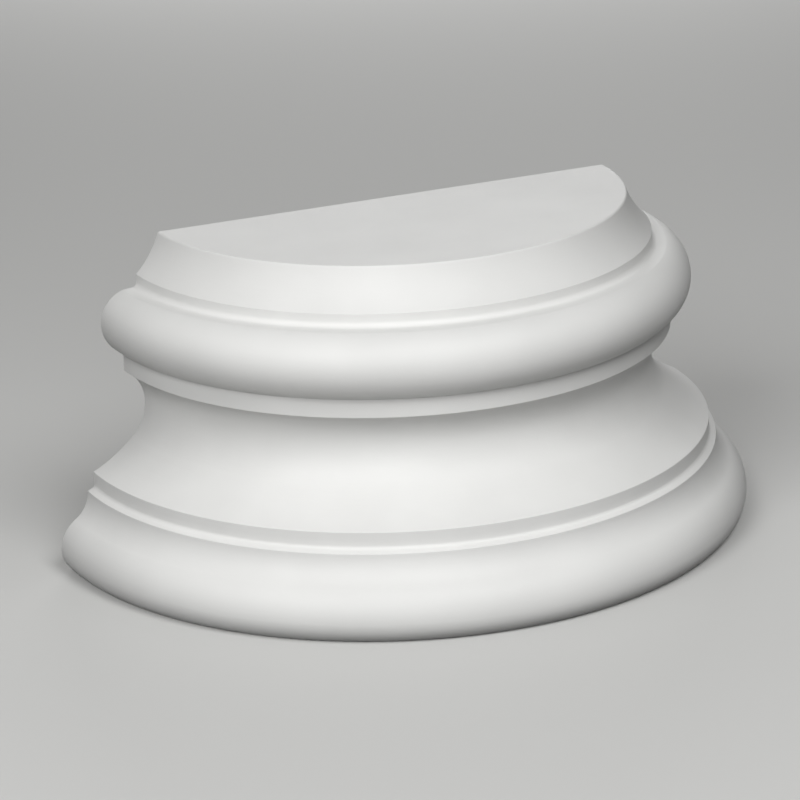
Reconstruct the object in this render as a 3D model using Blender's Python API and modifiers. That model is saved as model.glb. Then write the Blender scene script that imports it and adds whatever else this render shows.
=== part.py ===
"""Half column base for a column against a wall.

One moulded piece: a turned Attic base, cut upright a little in front of its axis. Metres,
+Z up, front towards -Y, wall side towards +Y, origin at the middle of the underside.
"""
import math

import bmesh
import bpy
from mathutils import Vector

# Flat top, where the shaft of the column stands
SHAFT_SEAT_RADIUS = 0.1500

# Cavetto under the seat, and the fillet that it runs out on
CAVETTO_SPREAD = 0.0153
CAVETTO_HEIGHT = 0.0242
CAVETTO_TOP_LEAN = math.radians(18.5)
UPPER_FILLET_HEIGHT = 0.0076

# Upper torus, a full round that is undercut down to the middle fillet
UPPER_TORUS_SETTING = 0.0031
UPPER_TORUS_ROUND = 0.0209
UPPER_TORUS_UNDERCUT = math.radians(67.0)
MIDDLE_FILLET_HEIGHT = 0.0113

# Scotia, hollowed quickly round its waist and slowly out to the lower fillet
SCOTIA_DEPTH = 0.0119
SCOTIA_UPPER_HEIGHT = 0.0208
SCOTIA_QUICK_ROUND = 0.0304
SCOTIA_QUICK_TURN = math.radians(45.0)
SCOTIA_SPREAD = 0.0357
SCOTIA_LOWER_HEIGHT = 0.0403
LOWER_FILLET_HEIGHT = 0.0097

# Ledge, and the foot that flares from it and rolls in to the underside
LEDGE_WIDTH = 0.0045
LEDGE_FALL = 0.0019
FOOT_SPREAD = 0.0192
FOOT_FLARE_HEIGHT = 0.0360
FOOT_HOLLOW_ROUND = 0.0204
FOOT_ROLL_ROUND = 0.0160
FOOT_ROLL_TURN = math.radians(50.0)
FOOT_UNDER_ROUND = 0.0041

# The wall side is cut this far in front of the axis of turning
WALL_SET_BACK = 0.0050

# Fineness of the facets
TURNED_STEPS = 120
LARGEST_ARC_STEP = math.radians(11.0)

# How far the wall cut reaches past the turned body
CUT_MARGIN = 0.05

# Radii from the axis of turning
UPPER_FILLET_RADIUS = SHAFT_SEAT_RADIUS + CAVETTO_SPREAD
TORUS_CENTRE_RADIUS = UPPER_FILLET_RADIUS + UPPER_TORUS_SETTING
MIDDLE_FILLET_RADIUS = TORUS_CENTRE_RADIUS + UPPER_TORUS_ROUND * math.cos(UPPER_TORUS_UNDERCUT)
SCOTIA_WAIST_RADIUS = MIDDLE_FILLET_RADIUS - SCOTIA_DEPTH
LOWER_FILLET_RADIUS = SCOTIA_WAIST_RADIUS + SCOTIA_SPREAD
LEDGE_RADIUS = LOWER_FILLET_RADIUS + LEDGE_WIDTH
FOOT_RADIUS = LEDGE_RADIUS + FOOT_SPREAD

# Heights above the underside
FOOT_ROLL_END = FOOT_UNDER_ROUND * (1.0 - math.sin(FOOT_ROLL_TURN))
WIDEST_HEIGHT = FOOT_ROLL_END + FOOT_ROLL_ROUND * math.sin(FOOT_ROLL_TURN)
LEDGE_HEIGHT = WIDEST_HEIGHT + FOOT_FLARE_HEIGHT
LOWER_FILLET_BOTTOM = LEDGE_HEIGHT + LEDGE_FALL
LOWER_FILLET_TOP = LOWER_FILLET_BOTTOM + LOWER_FILLET_HEIGHT
SCOTIA_WAIST_HEIGHT = LOWER_FILLET_TOP + SCOTIA_LOWER_HEIGHT
MIDDLE_FILLET_BOTTOM = SCOTIA_WAIST_HEIGHT + SCOTIA_UPPER_HEIGHT
MIDDLE_FILLET_TOP = MIDDLE_FILLET_BOTTOM + MIDDLE_FILLET_HEIGHT
UPPER_FILLET_BOTTOM = MIDDLE_FILLET_TOP + UPPER_TORUS_ROUND * (1.0 + math.sin(UPPER_TORUS_UNDERCUT))
UPPER_FILLET_TOP = UPPER_FILLET_BOTTOM + UPPER_FILLET_HEIGHT
SEAT_HEIGHT = UPPER_FILLET_TOP + CAVETTO_HEIGHT

# The footprint is centred on the origin
AXIS_Y = (FOOT_RADIUS + WALL_SET_BACK) / 2.0


def bend(start, lean, end):
    """Points after start on the arc that leaves it at a lean and runs to end.

    The lean is measured from straight down, outwards positive.
    """
    chord = end - start
    turn = 2.0 * (math.atan2(chord.x, -chord.y) - lean)
    radius = chord.length / (2.0 * math.sin(turn / 2.0))
    steps = math.ceil(abs(turn) / LARGEST_ARC_STEP)
    points = []
    for step in range(1, steps + 1):
        heading = lean + turn * step / steps
        offset = Vector((math.cos(lean) - math.cos(heading), math.sin(lean) - math.sin(heading)))
        points.append(start + radius * offset)
    return points


def cavetto_and_fillet():
    """Hollow from the edge of the seat out to the upper fillet, and down that fillet."""
    seat_edge = Vector((SHAFT_SEAT_RADIUS, SEAT_HEIGHT))
    fillet_edge = Vector((UPPER_FILLET_RADIUS, UPPER_FILLET_TOP))
    fillet_foot = Vector((UPPER_FILLET_RADIUS, UPPER_FILLET_BOTTOM))
    return [seat_edge] + bend(seat_edge, CAVETTO_TOP_LEAN, fillet_edge) + [fillet_foot]


def torus_and_fillet():
    """Upper torus, from its level top round to the middle fillet, and down that fillet."""
    torus_top = Vector((TORUS_CENTRE_RADIUS, UPPER_FILLET_BOTTOM))
    fillet_edge = Vector((MIDDLE_FILLET_RADIUS, MIDDLE_FILLET_TOP))
    fillet_foot = Vector((MIDDLE_FILLET_RADIUS, MIDDLE_FILLET_BOTTOM))
    return [torus_top] + bend(torus_top, math.radians(90.0), fillet_edge) + [fillet_foot]


def scotia_and_fillet():
    """Scotia in three arcs that flow into one another, and the lower fillet."""
    fillet_foot = Vector((MIDDLE_FILLET_RADIUS, MIDDLE_FILLET_BOTTOM))
    waist = Vector((SCOTIA_WAIST_RADIUS, SCOTIA_WAIST_HEIGHT))
    quick = Vector((1.0 - math.cos(SCOTIA_QUICK_TURN), -math.sin(SCOTIA_QUICK_TURN)))
    quick_end = waist + SCOTIA_QUICK_ROUND * quick
    lower_edge = Vector((LOWER_FILLET_RADIUS, LOWER_FILLET_TOP))
    lower_foot = Vector((LOWER_FILLET_RADIUS, LOWER_FILLET_BOTTOM))
    inward_lean = -2.0 * math.atan2(SCOTIA_DEPTH, SCOTIA_UPPER_HEIGHT)
    points = bend(fillet_foot, inward_lean, waist)
    points += bend(waist, 0.0, quick_end)
    points += bend(quick_end, SCOTIA_QUICK_TURN, lower_edge)
    return points + [lower_foot]


def ledge_and_foot():
    """Ledge, the reverse curve of the foot, upright at both ends, and its roll to the underside."""
    ledge_edge = Vector((LEDGE_RADIUS, LEDGE_HEIGHT))
    widest = Vector((FOOT_RADIUS, WIDEST_HEIGHT))
    steepest = 2.0 * math.atan2(FOOT_SPREAD, FOOT_FLARE_HEIGHT)
    hollow = Vector((1.0 - math.cos(steepest), -math.sin(steepest)))
    hollow_end = ledge_edge + FOOT_HOLLOW_ROUND * hollow
    roll_end = Vector((FOOT_RADIUS - FOOT_ROLL_ROUND * (1.0 - math.cos(FOOT_ROLL_TURN)), FOOT_ROLL_END))
    underside_edge = Vector((roll_end.x - FOOT_UNDER_ROUND * math.cos(FOOT_ROLL_TURN), 0.0))
    points = [ledge_edge] + bend(ledge_edge, 0.0, hollow_end)
    points += bend(hollow_end, steepest, widest)
    points += bend(widest, 0.0, roll_end)
    return points + bend(roll_end, -FOOT_ROLL_TURN, underside_edge)


def turned_body(collection):
    """Whole base turned about its axis, from a profile that runs down its outer side."""
    outline = [Vector((0.0, SEAT_HEIGHT))]
    outline += cavetto_and_fillet() + torus_and_fillet() + scotia_and_fillet() + ledge_and_foot()
    outline.append(Vector((0.0, 0.0)))
    profile = bmesh.new()
    verts = [profile.verts.new((point.x, 0.0, point.y)) for point in outline]
    for upper, lower in zip(verts, verts[1:]):
        profile.edges.new((upper, lower))
    mesh = bpy.data.meshes.new("half_column_base")
    profile.to_mesh(mesh)
    profile.free()
    body = bpy.data.objects.new("half_column_base", mesh)
    body.location = (0.0, AXIS_Y, 0.0)
    collection.objects.link(body)
    screw = body.modifiers.new("Turned", "SCREW")
    screw.axis = "Z"
    screw.steps = TURNED_STEPS
    screw.render_steps = TURNED_STEPS
    screw.use_merge_vertices = True
    screw.merge_threshold = 0.00001
    return body


def wall_cutter(collection):
    """Block that takes away everything behind the wall plane."""
    width = 2.0 * (FOOT_RADIUS + CUT_MARGIN)
    depth = FOOT_RADIUS + WALL_SET_BACK + CUT_MARGIN
    height = SEAT_HEIGHT + 2.0 * CUT_MARGIN
    block = bmesh.new()
    bmesh.ops.create_cube(block, size=1.0)
    bmesh.ops.scale(block, vec=(width, depth, height), verts=block.verts)
    mesh = bpy.data.meshes.new("wall_cutter")
    block.to_mesh(mesh)
    block.free()
    cutter = bpy.data.objects.new("wall_cutter", mesh)
    cutter.location = (0.0, AXIS_Y - WALL_SET_BACK + depth / 2.0, SEAT_HEIGHT / 2.0)
    cutter.hide_render = True
    cutter.display_type = "WIRE"
    collection.objects.link(cutter)
    return cutter


def primed_white():
    """Matt white primer over moulded foam."""
    material = bpy.data.materials.new("primed_white")
    material.use_nodes = True
    shader = material.node_tree.nodes["Principled BSDF"]
    shader.inputs["Base Color"].default_value = (0.855, 0.855, 0.847, 1.0)
    shader.inputs["Roughness"].default_value = 0.6
    shader.inputs["Metallic"].default_value = 0.0
    return material


def finish_shape(body):
    """Keeps the cut shape as the piece's own mesh, smooth on its curves and sharp at its arrises."""
    bpy.context.view_layer.update()
    evaluated = body.evaluated_get(bpy.context.evaluated_depsgraph_get())
    shaped = bpy.data.meshes.new_from_object(evaluated)
    body.modifiers.clear()
    body.data = shaped
    shaped.name = body.name
    shaped.shade_smooth()
    shaped.set_sharp_from_angle(angle=math.radians(20.0))
    shaped.materials.clear()
    shaped.materials.append(primed_white())


for leftover in list(bpy.data.objects):
    bpy.data.objects.remove(leftover)

part_collection = bpy.data.collections.new("half_column_base")
cutter_collection = bpy.data.collections.new("cutters")
bpy.context.scene.collection.children.link(part_collection)
bpy.context.scene.collection.children.link(cutter_collection)

base = turned_body(part_collection)
cut = base.modifiers.new("Wall side", "BOOLEAN")
cut.operation = "DIFFERENCE"
cut.object = wall_cutter(cutter_collection)
finish_shape(base)
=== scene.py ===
"""Half column base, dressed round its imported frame.

Metres, +Z up, front towards -Y. The base stands at the origin with its flat back towards +Y.
"""
import math

import bmesh
import bpy
from mathutils import Matrix, Vector


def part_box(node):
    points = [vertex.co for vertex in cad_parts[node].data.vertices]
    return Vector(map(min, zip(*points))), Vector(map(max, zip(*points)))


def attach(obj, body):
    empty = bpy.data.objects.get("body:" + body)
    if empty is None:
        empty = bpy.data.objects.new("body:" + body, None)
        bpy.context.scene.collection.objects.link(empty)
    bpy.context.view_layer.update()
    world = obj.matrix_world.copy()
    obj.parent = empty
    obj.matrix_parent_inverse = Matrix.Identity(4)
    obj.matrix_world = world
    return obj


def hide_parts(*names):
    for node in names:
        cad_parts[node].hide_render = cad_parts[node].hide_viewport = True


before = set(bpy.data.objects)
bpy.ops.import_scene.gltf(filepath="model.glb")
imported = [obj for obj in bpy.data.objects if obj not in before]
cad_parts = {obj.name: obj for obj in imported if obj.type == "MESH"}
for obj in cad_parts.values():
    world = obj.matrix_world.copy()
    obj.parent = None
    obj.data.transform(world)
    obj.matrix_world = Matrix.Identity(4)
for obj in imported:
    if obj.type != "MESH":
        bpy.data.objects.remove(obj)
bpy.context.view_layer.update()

# Half column base.
# One moulding of rigid polyurethane foam, cast in a closed mould: a turned Attic base, flat at
# the back where it stands against the wall. It is primed white, and its edges are softly eased.
high_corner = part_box("half_column_base")[1]
SEAT_HEIGHT = high_corner.z
WALL_Y = high_corner.y
WALL_SET_BACK = 0.0050
AXIS_Y = WALL_Y + WALL_SET_BACK

# Widths and heights of the members, as the frame has them
SEAT_RADIUS = 0.1500
CAVETTO_SPREAD = 0.0153
CAVETTO_HEIGHT = 0.0242
CAVETTO_TOP_LEAN = math.radians(18.5)
UPPER_FILLET_HEIGHT = 0.0076
TORUS_SETTING = 0.0031
TORUS_ROUND = 0.0209
TORUS_UNDERCUT = math.radians(67.0)
MIDDLE_FILLET_HEIGHT = 0.0113
SCOTIA_DEPTH = 0.0119
SCOTIA_UPPER_HEIGHT = 0.0208
SCOTIA_QUICK_ROUND = 0.0304
SCOTIA_QUICK_TURN = math.radians(45.0)
SCOTIA_SPREAD = 0.0357
SCOTIA_LOWER_HEIGHT = 0.0403
LOWER_FILLET_HEIGHT = 0.0097
LEDGE_WIDTH = 0.0045
LEDGE_FALL = 0.0019
FOOT_FLARE_HEIGHT = 0.0360
FOOT_HOLLOW_ROUND = 0.0204
FOOT_ROLL_ROUND = 0.0160
FOOT_ROLL_TURN = math.radians(50.0)
FOOT_UNDER_ROUND = 0.0041

# A hair less than the frame's 0.0192, whose coarser facets end a little further in
FOOT_SPREAD = 0.01914

# How far the edges are eased, and how full the primer lies in the inner corners. The upper torus
# comes clear of the primer 15 degrees past its top.
SEAT_ARRIS_ROUND = 0.0015
ARRIS_ROUND = 0.0006
TORUS_COVE = 0.0034
TORUS_CLEAR = math.radians(15.0)
TORUS_CREASE = 0.0002
LEDGE_COVE = 0.0022
RIM_ROUND = 0.0004

# Fineness of the curves, and the distance within which two places count as one
ARC_STEP = math.radians(3.0)
CORNER_STEPS = 5
TURNED_STEPS = 150
RIM_STEPS = 3
SNAP = 0.000001

# Most that the round of a corner may take of the edges next to it
LARGEST_SHARE = 0.9


def bend(start, lean, end):
    """Points after start on the arc that leaves it at a lean from straight down and runs to end."""
    chord = end - start
    turn = 2.0 * (math.atan2(chord.x, -chord.y) - lean)
    radius = chord.length / (2.0 * math.sin(turn / 2.0))
    steps = math.ceil(abs(turn) / ARC_STEP)
    points = []
    for step in range(1, steps + 1):
        heading = lean + turn * step / steps
        offset = Vector((math.cos(lean) - math.cos(heading), math.sin(lean) - math.sin(heading)))
        points.append(start + radius * offset)
    return points


def below(point, fall, spread):
    """Point that lies lower than another by a fall, and further out by a spread."""
    return Vector((point.x + spread, point.y - fall))


def eased(before, corner, after, radius):
    """Points of the small round that takes the place of a corner between its two neighbours."""
    back = (before - corner).normalized()
    ahead = (after - corner).normalized()
    half_angle = back.angle(ahead) / 2.0
    longest = LARGEST_SHARE * min((before - corner).length, (after - corner).length)
    reach = min(radius / math.tan(half_angle), longest)
    centre = corner + (back + ahead).normalized() * reach / math.cos(half_angle)
    arm = corner + back * reach - centre
    turn = math.copysign(math.pi - 2.0 * half_angle, ahead.cross(back))
    steps = range(CORNER_STEPS + 1)
    return [centre + Matrix.Rotation(turn * step / CORNER_STEPS, 2) @ arm for step in steps]


def base_outline():
    """Outline down the outer side, as radius and height, from the seat to the underside."""
    seat_edge = Vector((SEAT_RADIUS, SEAT_HEIGHT))
    upper_edge = below(seat_edge, CAVETTO_HEIGHT, CAVETTO_SPREAD)
    upper_foot = below(upper_edge, UPPER_FILLET_HEIGHT, 0.0)
    torus_top = below(upper_foot, 0.0, TORUS_SETTING)
    clear_fall = TORUS_ROUND * (1.0 - math.cos(TORUS_CLEAR))
    torus_clear = below(torus_top, clear_fall, TORUS_ROUND * math.sin(TORUS_CLEAR))
    torus_fall = TORUS_ROUND * (1.0 + math.sin(TORUS_UNDERCUT))
    middle_edge = below(torus_top, torus_fall, TORUS_ROUND * math.cos(TORUS_UNDERCUT))
    middle_foot = below(middle_edge, MIDDLE_FILLET_HEIGHT, 0.0)
    waist = below(middle_foot, SCOTIA_UPPER_HEIGHT, -SCOTIA_DEPTH)
    quick_fall = SCOTIA_QUICK_ROUND * math.sin(SCOTIA_QUICK_TURN)
    quick_end = below(waist, quick_fall, SCOTIA_QUICK_ROUND * (1.0 - math.cos(SCOTIA_QUICK_TURN)))
    lower_edge = below(waist, SCOTIA_LOWER_HEIGHT, SCOTIA_SPREAD)
    lower_foot = below(lower_edge, LOWER_FILLET_HEIGHT, 0.0)
    ledge_edge = below(lower_foot, LEDGE_FALL, LEDGE_WIDTH)
    widest = below(ledge_edge, FOOT_FLARE_HEIGHT, FOOT_SPREAD)
    steepest = 2.0 * math.atan2(FOOT_SPREAD, FOOT_FLARE_HEIGHT)
    hollow_fall = FOOT_HOLLOW_ROUND * math.sin(steepest)
    hollow_end = below(ledge_edge, hollow_fall, FOOT_HOLLOW_ROUND * (1.0 - math.cos(steepest)))
    roll_in = FOOT_ROLL_ROUND * (1.0 - math.cos(FOOT_ROLL_TURN))
    roll_end = below(widest, FOOT_ROLL_ROUND * math.sin(FOOT_ROLL_TURN), -roll_in)
    underside_edge = Vector((roll_end.x - FOOT_UNDER_ROUND * math.cos(FOOT_ROLL_TURN), 0.0))

    cavetto = [seat_edge] + bend(seat_edge, CAVETTO_TOP_LEAN, upper_edge)
    torus = [upper_foot, torus_clear]
    torus += bend(torus_clear, math.pi / 2.0 - TORUS_CLEAR, middle_edge)
    inward_lean = -2.0 * math.atan2(SCOTIA_DEPTH, SCOTIA_UPPER_HEIGHT)
    scotia = [middle_foot] + bend(middle_foot, inward_lean, waist)
    scotia += bend(waist, 0.0, quick_end) + bend(quick_end, SCOTIA_QUICK_TURN, lower_edge)
    foot = [ledge_edge] + bend(ledge_edge, 0.0, hollow_end) + bend(hollow_end, steepest, widest)
    foot += bend(widest, 0.0, roll_end) + bend(roll_end, -FOOT_ROLL_TURN, underside_edge)

    seat = [Vector((0.0, SEAT_HEIGHT)), seat_edge]
    upper_fillet = [upper_edge, upper_foot]
    middle_fillet = [middle_edge, middle_foot]
    lower_fillet = [lower_edge, lower_foot]
    ledge = [lower_foot, ledge_edge]
    runs = [seat, cavetto, upper_fillet, torus, middle_fillet, scotia, lower_fillet, ledge, foot]
    rounds = [SEAT_ARRIS_ROUND, ARRIS_ROUND, TORUS_COVE, TORUS_CREASE, ARRIS_ROUND, ARRIS_ROUND]
    rounds += [LEDGE_COVE, ARRIS_ROUND]
    outline = []
    for run, next_run, radius in zip(runs, runs[1:], rounds):
        outline += run[1:-1] + eased(run[-2], run[-1], next_run[1], radius)
    return outline + foot[1:]


def flat_end(mesh, height):
    """Closes the shape with one flat face at a height where its edges are still open."""
    level_edges = [
        edge for edge in mesh.edges
        if edge.is_boundary and all(abs(vert.co.z - height) < SNAP for vert in edge.verts)
    ]
    return bmesh.ops.contextual_create(mesh, geom=level_edges)["faces"][0]


base_mesh = bmesh.new()
outline_verts = [base_mesh.verts.new((point.x, AXIS_Y, point.y)) for point in base_outline()]
outline_edges = [base_mesh.edges.new(pair) for pair in zip(outline_verts, outline_verts[1:])]
bmesh.ops.spin(
    base_mesh,
    geom=outline_verts + outline_edges,
    cent=(0.0, AXIS_Y, 0.0),
    axis=(0.0, 0.0, 1.0),
    angle=-math.pi,
    steps=TURNED_STEPS,
)

# The wall side is trimmed flat, and three flat faces close the shape: seat, underside, wall face
bmesh.ops.bisect_plane(
    base_mesh,
    geom=base_mesh.verts[:] + base_mesh.edges[:] + base_mesh.faces[:],
    dist=SNAP,
    plane_co=(0.0, WALL_Y - RIM_ROUND, 0.0),
    plane_no=(0.0, 1.0, 0.0),
    clear_outer=True,
)
flat_end(base_mesh, SEAT_HEIGHT)
underside = flat_end(base_mesh, 0.0)
wall_edges = [edge for edge in base_mesh.edges if edge.is_boundary]
wall_face = bmesh.ops.contextual_create(base_mesh, geom=wall_edges)["faces"][0]
bmesh.ops.recalc_face_normals(base_mesh, faces=base_mesh.faces[:])

# The rim round the wall face is eased like the other edges
for step in range(RIM_STEPS):
    start_angle = math.pi / 2.0 * step / RIM_STEPS
    end_angle = math.pi / 2.0 * (step + 1) / RIM_STEPS
    bmesh.ops.inset_region(
        base_mesh,
        faces=[wall_face],
        thickness=RIM_ROUND * (math.cos(start_angle) - math.cos(end_angle)),
        depth=RIM_ROUND * (math.sin(end_angle) - math.sin(start_angle)),
        use_even_offset=True,
    )

# The two flat faces out of sight stay as they were scraped, in the second material
SCRAPED = 1
underside.material_index = SCRAPED
wall_face.material_index = SCRAPED

moulding = bpy.data.meshes.new("half_column_base_moulding")
base_mesh.to_mesh(moulding)
base_mesh.free()
moulding.shade_smooth()
column_base = bpy.data.objects.new("half_column_base_moulding", moulding)
bpy.context.scene.collection.objects.link(column_base)
even_shading = column_base.modifiers.new("Even shading", "WEIGHTED_NORMAL")
even_shading.weight = 100


def linear(hex_colour):
    """sRGB hex colour as linear RGBA."""
    channels = [int(hex_colour[place:place + 2], 16) / 255.0 for place in (1, 3, 5)]
    curved = [c / 12.92 if c <= 0.04045 else ((c + 0.055) / 1.055) ** 2.4 for c in channels]
    return (*curved, 1.0)


def add_node(tree, kind, settings=None, inputs=None):
    """New node with its properties set, and its inputs given values or linked from sockets."""
    node = tree.nodes.new(kind)
    for name, value in (settings or {}).items():
        setattr(node, name, value)
    for name, value in (inputs or {}).items():
        if isinstance(value, bpy.types.NodeSocket):
            tree.links.new(value, node.inputs[name])
        else:
            node.inputs[name].default_value = value
    return node


# Primer: its patterns by how many there are to a metre, and the shares and heights they take
PRIMER_IOR = 1.5
COATS_PER_METRE = 14.0
DRAG_LINES_PER_METRE = 300.0
DRAG_METRES_PER_RADIAN = 0.02
GRAINS_PER_METRE = 650.0
GRAIN_TO_DRAG = 0.4
PRIMER_RELIEF = 0.00004
RUBBED_SMOOTHER = 0.15


def sprayed_primer():
    """White acrylic primer, sprayed on the moulded skin of the foam and left unsanded.

    It reads as an even matt white. The coats differ by a hair in tone, the turned pattern has left
    faint drag lines round the members, handling has rubbed the arrises smoother, and the arrises
    carry a painted highlight in a lighter colour.
    """
    material = bpy.data.materials.new("sprayed_white_primer")
    material.use_nodes = True
    tree = material.node_tree
    shader = tree.nodes["Principled BSDF"]
    shader.inputs["IOR"].default_value = PRIMER_IOR
    place = add_node(tree, "ShaderNodeTexCoord").outputs["Object"]

    # Passes of the spray gun, in clouds about 70 mm wide
    coats = add_node(
        tree,
        "ShaderNodeTexNoise",
        inputs={"Vector": place, "Scale": COATS_PER_METRE, "Detail": 3.0},
    )
    coat_share = add_node(
        tree,
        "ShaderNodeMapRange",
        inputs={"Value": coats.outputs["Fac"], "From Min": 0.35, "From Max": 0.65},
    )
    coat_colour = add_node(
        tree,
        "ShaderNodeMixRGB",
        inputs={
            "Fac": coat_share.outputs["Result"],
            "Color1": linear("#E3E3E1"),
            "Color2": linear("#E8E8E6"),
        },
    )

    # Drag lines that run round the axis, about 3 mm wide and ten times as long
    from_axis = add_node(
        tree, "ShaderNodeVectorMath", {"operation": "SUBTRACT"}, {0: place, 1: (0.0, AXIS_Y, 0.0)}
    )
    level = add_node(
        tree,
        "ShaderNodeVectorMath",
        {"operation": "MULTIPLY"},
        {0: from_axis.outputs["Vector"], 1: (1.0, 1.0, 0.0)},
    )
    radius = add_node(
        tree, "ShaderNodeVectorMath", {"operation": "LENGTH"}, {0: level.outputs["Vector"]}
    )
    sides = add_node(tree, "ShaderNodeSeparateXYZ", inputs={0: from_axis.outputs["Vector"]})
    turned = add_node(
        tree,
        "ShaderNodeMath",
        {"operation": "ARCTAN2"},
        {0: sides.outputs["X"], 1: sides.outputs["Y"]},
    )
    drawn_out = add_node(
        tree,
        "ShaderNodeMath",
        {"operation": "MULTIPLY"},
        {0: turned.outputs[0], 1: DRAG_METRES_PER_RADIAN},
    )
    ring_place = add_node(
        tree,
        "ShaderNodeCombineXYZ",
        inputs={"X": radius.outputs["Value"], "Y": sides.outputs["Z"], "Z": drawn_out.outputs[0]},
    )
    drag = add_node(
        tree,
        "ShaderNodeTexNoise",
        inputs={
            "Vector": ring_place.outputs[0],
            "Scale": DRAG_LINES_PER_METRE,
            "Detail": 2.0,
        },
    )

    # Eggshell grain of the spray, about 0.5 mm in truth and drawn at 1.5 mm so that it shows
    grain = add_node(
        tree,
        "ShaderNodeTexNoise",
        inputs={"Vector": place, "Scale": GRAINS_PER_METRE, "Detail": 2.0},
    )
    relief = add_node(
        tree,
        "ShaderNodeMath",
        {"operation": "MULTIPLY_ADD"},
        {0: grain.outputs["Fac"], 1: GRAIN_TO_DRAG, 2: drag.outputs["Fac"]},
    )
    bump = add_node(
        tree,
        "ShaderNodeBump",
        inputs={"Height": relief.outputs[0], "Strength": 1.0, "Distance": PRIMER_RELIEF},
    )
    tree.links.new(bump.outputs["Normal"], shader.inputs["Normal"])

    # Arrises rubbed smoother by handling, and a painted highlight that colours them lighter
    edges = add_node(tree, "ShaderNodeNewGeometry")
    rubbed_and_highlit = add_node(
        tree,
        "ShaderNodeMapRange",
        inputs={
            "Value": edges.outputs["Pointiness"],
            "From Min": 0.53,
            "From Max": 0.62,
            "To Max": 0.7,
        },
    )
    # Painted highlight: the arrises are coloured lighter than the coats round them
    colour = add_node(
        tree,
        "ShaderNodeMixRGB",
        inputs={
            "Fac": rubbed_and_highlit.outputs["Result"],
            "Color1": coat_colour.outputs["Color"],
            "Color2": linear("#F2F2F0"),
        },
    )
    tree.links.new(colour.outputs["Color"], shader.inputs["Base Color"])
    matt = add_node(
        tree,
        "ShaderNodeMapRange",
        inputs={
            "Value": grain.outputs["Fac"],
            "From Min": 0.3,
            "From Max": 0.7,
            "To Min": 0.52,
            "To Max": 0.62,
        },
    )
    roughness = add_node(
        tree,
        "ShaderNodeMath",
        {"operation": "MULTIPLY_ADD"},
        {0: rubbed_and_highlit.outputs["Result"], 1: -RUBBED_SMOOTHER, 2: matt.outputs["Result"]},
    )
    tree.links.new(roughness.outputs[0], shader.inputs["Roughness"])
    return material


# Scraped faces: their patterns by how many there are to a metre, and the shares and heights
# they take
SCRAPES_PER_METRE = 250.0
SCRAPE_STRETCH = 0.04
SCRAPE_TO_MIST = 0.5
MIST_CLOUDS_PER_METRE = 20.0
PORE_CELLS_PER_METRE = 160.0
LARGEST_PORE_TO_CELL = 0.16
PORE_TO_SCRAPE = 2.0
SCRAPED_RELIEF = 0.0004


def scraped_back():
    """The same primer, misted thinly over foam that was scraped flat as it left the mould.

    It is duller and a touch greyer than the front, with scrape lines and the pores of cut foam.
    """
    material = bpy.data.materials.new("primer_misted_on_scraped_foam")
    material.use_nodes = True
    tree = material.node_tree
    shader = tree.nodes["Principled BSDF"]
    shader.inputs["IOR"].default_value = PRIMER_IOR
    shader.inputs["Roughness"].default_value = 0.75
    place = add_node(tree, "ShaderNodeTexCoord").outputs["Object"]

    # Scrape lines that run along the wall, about 1 mm apart in truth and drawn at 4 mm to show
    along = add_node(
        tree,
        "ShaderNodeVectorMath",
        {"operation": "MULTIPLY"},
        {0: place, 1: (SCRAPE_STRETCH, 1.0, 1.0)},
    )
    scrapes = add_node(
        tree,
        "ShaderNodeTexNoise",
        inputs={
            "Vector": along.outputs["Vector"],
            "Scale": SCRAPES_PER_METRE,
            "Detail": 3.0,
        },
    )

    # Uneven mist of primer, in clouds about 50 mm wide, thinner on the ridges of the scraping
    mist = add_node(
        tree,
        "ShaderNodeTexNoise",
        inputs={"Vector": place, "Scale": MIST_CLOUDS_PER_METRE, "Detail": 4.0},
    )
    mist_depth = add_node(
        tree,
        "ShaderNodeMath",
        {"operation": "MULTIPLY_ADD"},
        {0: scrapes.outputs["Fac"], 1: -SCRAPE_TO_MIST, 2: mist.outputs["Fac"]},
    )
    mist_share = add_node(
        tree,
        "ShaderNodeMapRange",
        inputs={"Value": mist_depth.outputs[0], "From Min": 0.0, "From Max": 0.5},
    )
    mist_colour = add_node(
        tree,
        "ShaderNodeMixRGB",
        inputs={
            "Fac": mist_share.outputs["Result"],
            "Color1": linear("#D4D3CD"),
            "Color2": linear("#E6E6E2"),
        },
    )

    # Pores of the foam, under 1 mm in truth and drawn at up to 2 mm so that they show
    cells = add_node(
        tree, "ShaderNodeTexVoronoi", inputs={"Vector": place, "Scale": PORE_CELLS_PER_METRE}
    )
    lot = add_node(tree, "ShaderNodeSeparateColor", inputs={"Color": cells.outputs["Color"]})
    pore_size = add_node(
        tree,
        "ShaderNodeMapRange",
        inputs={"Value": lot.outputs["Red"], "From Min": 0.5, "To Max": LARGEST_PORE_TO_CELL},
    )
    pores = add_node(
        tree,
        "ShaderNodeMath",
        {"operation": "LESS_THAN"},
        {0: cells.outputs["Distance"], 1: pore_size.outputs["Result"]},
    )
    colour = add_node(
        tree,
        "ShaderNodeMixRGB",
        inputs={
            "Fac": pores.outputs[0],
            "Color1": mist_colour.outputs["Color"],
            "Color2": linear("#B9B8B1"),
        },
    )
    tree.links.new(colour.outputs["Color"], shader.inputs["Base Color"])

    # Relief of the scrape lines, with the pores sunk into it
    relief = add_node(
        tree,
        "ShaderNodeMath",
        {"operation": "MULTIPLY_ADD"},
        {0: pores.outputs[0], 1: -PORE_TO_SCRAPE, 2: scrapes.outputs["Fac"]},
    )
    bump = add_node(
        tree,
        "ShaderNodeBump",
        inputs={"Height": relief.outputs[0], "Strength": 1.0, "Distance": SCRAPED_RELIEF},
    )
    tree.links.new(bump.outputs["Normal"], shader.inputs["Normal"])
    return material


moulding.materials.append(sprayed_primer())
moulding.materials.append(scraped_back())
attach(column_base, "root")
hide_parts("half_column_base")

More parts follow.
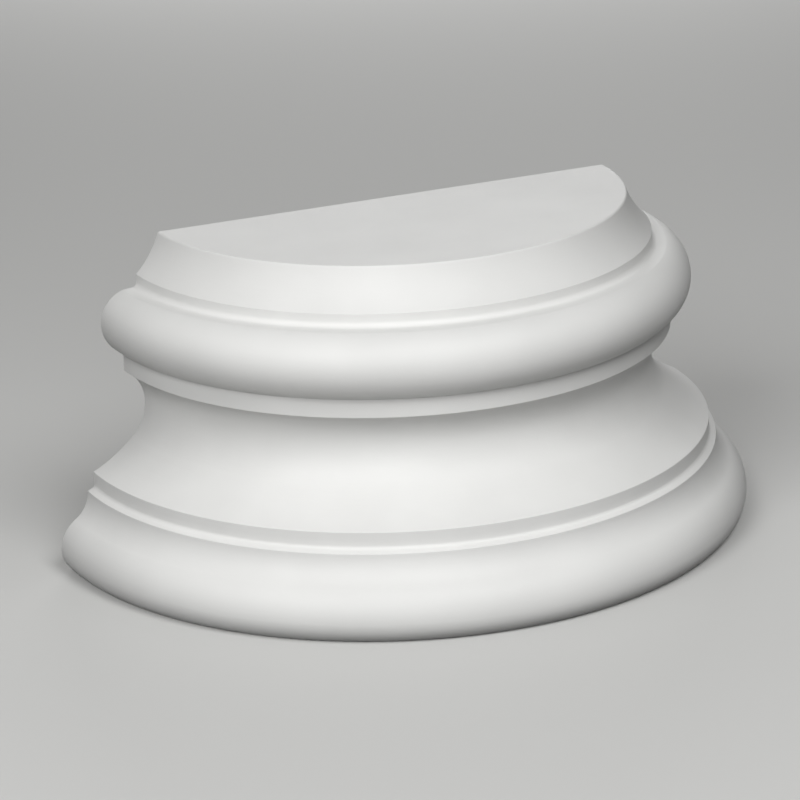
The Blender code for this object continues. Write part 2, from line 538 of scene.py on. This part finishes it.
# Studio floor.
# A pale seamless sheet of matt paper that the base stands on. It is flat, and far wider than the
# picture.
FLOOR_HALF_WIDTH = 6.0
floor_mesh = bmesh.new()
bmesh.ops.create_grid(floor_mesh, x_segments=1, y_segments=1, size=FLOOR_HALF_WIDTH)
floor_data = bpy.data.meshes.new("studio_floor")
floor_mesh.to_mesh(floor_data)
floor_mesh.free()
floor = bpy.data.objects.new("studio_floor", floor_data)
bpy.context.scene.collection.objects.link(floor)
paper = bpy.data.materials.new("pale_matt_paper")
paper.use_nodes = True
paper_shader = paper.node_tree.nodes["Principled BSDF"]
paper_shader.inputs["Base Color"].default_value = linear("#D8D8D6")
paper_shader.inputs["Roughness"].default_value = 0.9
floor_data.materials.append(paper)

# The photograph shows next to no light thrown up from below, so the sheet throws none
floor.visible_diffuse = False

# Studio light.
# Broad round softboxes 3 m away: most of the light comes from in front, a little higher than the
# camera, and one low behind the base opens its wall side.
LIGHT_DISTANCE = 3.0
SOFTBOX_WIDTH = 1.6
LIGHT_AIM = Vector((0.0, 0.0, 0.1))

# Azimuth from the front and elevation in degrees, and power in watts
SOFTBOXES = (
    ("left_front", -54.0, 35.0, 40.0),
    ("low_front", -24.0, 20.0, 21.5),
    ("right_front", 6.0, 50.0, 41.5),
    ("behind", 156.0, 4.0, 38.0),
)


def way_to(azimuth, elevation):
    """Direction from the base to a place at an azimuth from its front and an elevation."""
    level_way = Vector((math.sin(azimuth), -math.cos(azimuth), 0.0))
    return level_way * math.cos(elevation) + Vector((0.0, 0.0, math.sin(elevation)))


for name, azimuth, elevation, watts in SOFTBOXES:
    way = way_to(math.radians(azimuth), math.radians(elevation))
    light_data = bpy.data.lights.new(name, "AREA")
    light_data.shape = "DISK"
    light_data.size = SOFTBOX_WIDTH
    light_data.energy = watts
    softbox = bpy.data.objects.new(name, light_data)
    softbox.location = LIGHT_AIM + way * LIGHT_DISTANCE
    softbox.rotation_euler = way.to_track_quat("Z", "Y").to_euler()
    bpy.context.scene.collection.objects.link(softbox)

studio_world = bpy.data.worlds.new("studio_world")
studio_world.use_nodes = True
background = studio_world.node_tree.nodes["Background"]
background.inputs["Color"].default_value = linear("#FFFFFF")
background.inputs["Strength"].default_value = 0.02
bpy.context.scene.world = studio_world
bpy.context.scene.view_settings.view_transform = "Standard"

# Camera.
# It looks at the base from the photograph's viewing angle, turned to the left of the front and
# a little above, for a picture of 800 by 800.
CAMERA_AZIMUTH = math.radians(-23.38)
CAMERA_ELEVATION = math.radians(19.32)
CAMERA_ROLL = math.radians(-1.98)
CAMERA_DISTANCE = 1.9655
CAMERA_LENS = 139.87
AIM_SIDE = 0.0060
AIM_HEIGHT = 0.0706
back_way = way_to(CAMERA_AZIMUTH, CAMERA_ELEVATION)
side_way = Vector((math.cos(CAMERA_AZIMUTH), math.sin(CAMERA_AZIMUTH), 0.0))
aim = Vector((0.0, AXIS_Y, AIM_HEIGHT)) + side_way * AIM_SIDE
camera_data = bpy.data.cameras.new("camera")
camera_data.sensor_width = 36.0
camera_data.lens = CAMERA_LENS
camera_data.clip_end = 50.0
camera = bpy.data.objects.new("camera", camera_data)
upright = back_way.cross(side_way)
looking = Matrix((side_way, upright, back_way)).transposed()
camera.matrix_world = Matrix.LocRotScale(
    aim + back_way * CAMERA_DISTANCE,
    looking @ Matrix.Rotation(CAMERA_ROLL, 3, "Z"),
    None,
)
bpy.context.scene.collection.objects.link(camera)
bpy.context.scene.camera = camera
